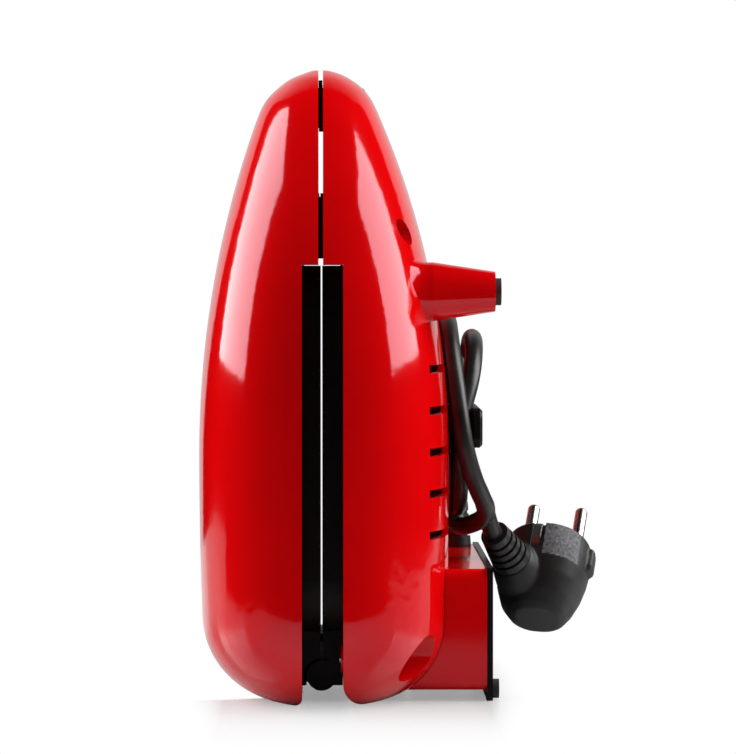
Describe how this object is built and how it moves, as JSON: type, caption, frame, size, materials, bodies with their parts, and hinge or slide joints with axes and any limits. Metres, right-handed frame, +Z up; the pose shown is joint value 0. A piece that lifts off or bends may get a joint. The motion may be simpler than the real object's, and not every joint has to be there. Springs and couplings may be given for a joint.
{
  "type": "sandwich maker",
  "caption": "Countertop sandwich maker with a hinged lid, latch, pocketed cooking plates and a cord wound under its base, standing on its hinge end.",
  "frame": {"origin": "on the floor under the middle of the standing object, the cord and plug left out", "axes": "+Z up, from the hinge end to the handle; +X from the lid through the base to the feet; +Y across, away from the picture's camera"},
  "size_m": [0.1558, 0.2296, 0.236],
  "materials": {
    "red_housing": "high gloss moulding",
    "black_trim": "satin black moulding",
    "plate_coating": "black non-stick coating on cast aluminium",
    "element_sheath": "heat-dulled steel tube",
    "reflector_sheet": "bright sheet",
    "steel": "plated steel",
    "plug_pin_metal": "bright nickel plate",
    "foot_rubber": "matt rubber",
    "cord_rubber": "satin black rubber",
    "terminal_plastic": "off-white moulding",
    "lamp_red": "clear red lens",
    "lamp_green": "clear green lens",
    "lamp_bulb_glass": "clear glass"
  },
  "bodies": {
    "base": {"base_shell": "red_housing", "base_handle_liner": "black_trim", "base_cooking_plate": "plate_coating", "base_heating_element": "element_sheath", "base_reflector": "reflector_sheet", "base_plate_screws": "steel", "thermostat": "steel", "thermal_fuse": "steel", "base_hinge_brackets": "black_trim", "hinge_pins": "steel", "front_foot_pads": "foot_rubber", "rear_housing": "red_housing", "rear_cover": "black_trim", "rear_cover_screws": "steel", "rear_foot_pads": "foot_rubber", "terminal_block": "terminal_plastic", "cord_gland": "cord_rubber", "cord_keeper": "black_trim", "keeper_screw": "steel", "base_shell_screws": "steel", "cord_lead": "cord_rubber", "cord_winding": "cord_rubber", "cord_tail": "cord_rubber", "plug_relief": "cord_rubber", "plug_body": "cord_rubber", "plug_pins": "plug_pin_metal", "plug_earth_clips": "reflector_sheet"},
    "lid": {"lid_shell": "red_housing", "lid_handle_liner": "black_trim", "lid_cooking_plate": "plate_coating", "lid_heating_element": "element_sheath", "lid_reflector": "reflector_sheet", "lid_plate_screws": "steel", "lid_hinge_brackets": "black_trim", "lamp_lens_red": "lamp_red", "lamp_lens_green": "lamp_green", "lamp_bulbs": "lamp_bulb_glass", "latch_pin": "steel"},
    "latch": {"latch_clip": "black_trim"}
  },
  "joints": [
    {"name": "lid_hinge", "type": "hinge", "parent": "base", "child": "lid", "pos_m": [-0.0099, 0, 0.01], "axis": [0, -1, 0], "range_deg": [0, 95]},
    {"name": "latch_pivot", "type": "hinge", "parent": "lid", "child": "latch", "pos_m": [-0.0214, 0, 0.2266], "axis": [0, -1, 0], "range_deg": [0, 60]}
  ]
}
